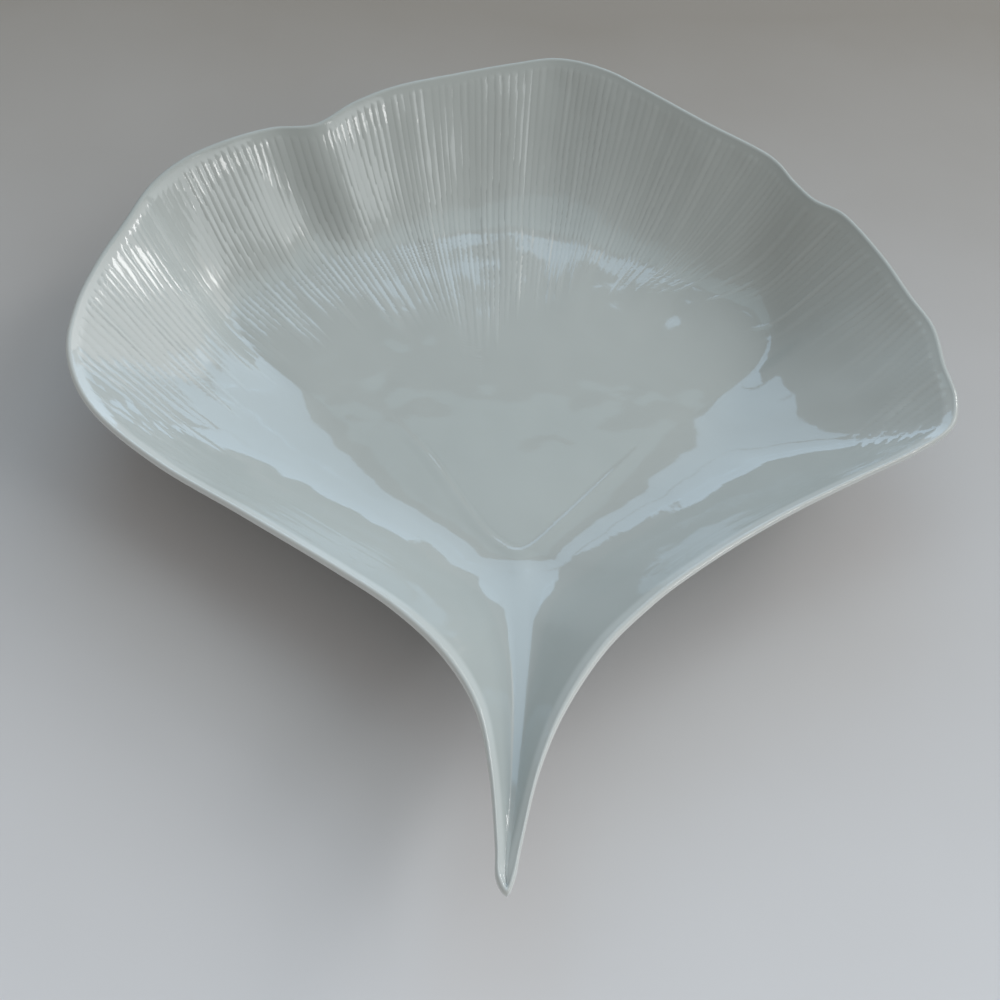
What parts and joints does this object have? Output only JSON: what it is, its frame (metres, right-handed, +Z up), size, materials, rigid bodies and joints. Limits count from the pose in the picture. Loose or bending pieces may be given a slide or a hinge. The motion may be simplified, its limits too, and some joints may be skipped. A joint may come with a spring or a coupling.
{
  "type": "leaf shaped plate",
  "caption": "Shallow porcelain serving plate shaped like a fan leaf, with a finely fluted folded back wall and a narrow trough of a stem as its handle.",
  "frame": {"origin": "on the table, under the middle of the leaf's bounding box", "axes": "+Z up from the table, +Y from the stem's tip towards the back of the fan, +X to the right corner"},
  "size_m": [0.2818, 0.319, 0.042],
  "materials": {
    "glaze": "glossy clear glaze over white porcelain",
    "bare_foot": "glazed sides with a bare, matt, fired edge"
  },
  "bodies": {
    "root": {"well_floor": "glaze", "fan_wall": "glaze", "left_flank": "glaze", "right_flank": "glaze", "stem_handle": "glaze", "rolled_rim": "glaze", "foot_ring": "bare_foot"}
  },
  "joints": []
}
